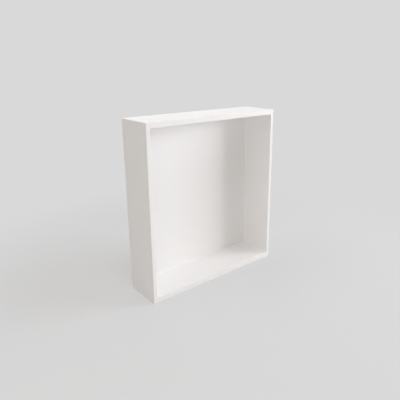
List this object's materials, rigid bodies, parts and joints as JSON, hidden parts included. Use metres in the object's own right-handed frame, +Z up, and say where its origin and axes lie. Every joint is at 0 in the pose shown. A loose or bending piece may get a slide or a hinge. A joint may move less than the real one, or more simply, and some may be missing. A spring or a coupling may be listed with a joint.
{
  "type": "shower niche insert",
  "caption": "White open-fronted wall box with square edges, bonded into a recess in a shower wall as a shelf for bottles and soap.",
  "frame": {"origin": "under the middle of the base, so the box stands on the plane Z = 0", "axes": "+Z up, +Y from the open front to the back panel, +X to the right seen from the front"},
  "size_m": [0.33, 0.088, 0.36],
  "materials": {
    "white_casting": "satin white, mineral-filled cast acrylic, coloured right through"
  },
  "bodies": {
    "root": {"niche_insert": "white_casting"}
  },
  "joints": []
}
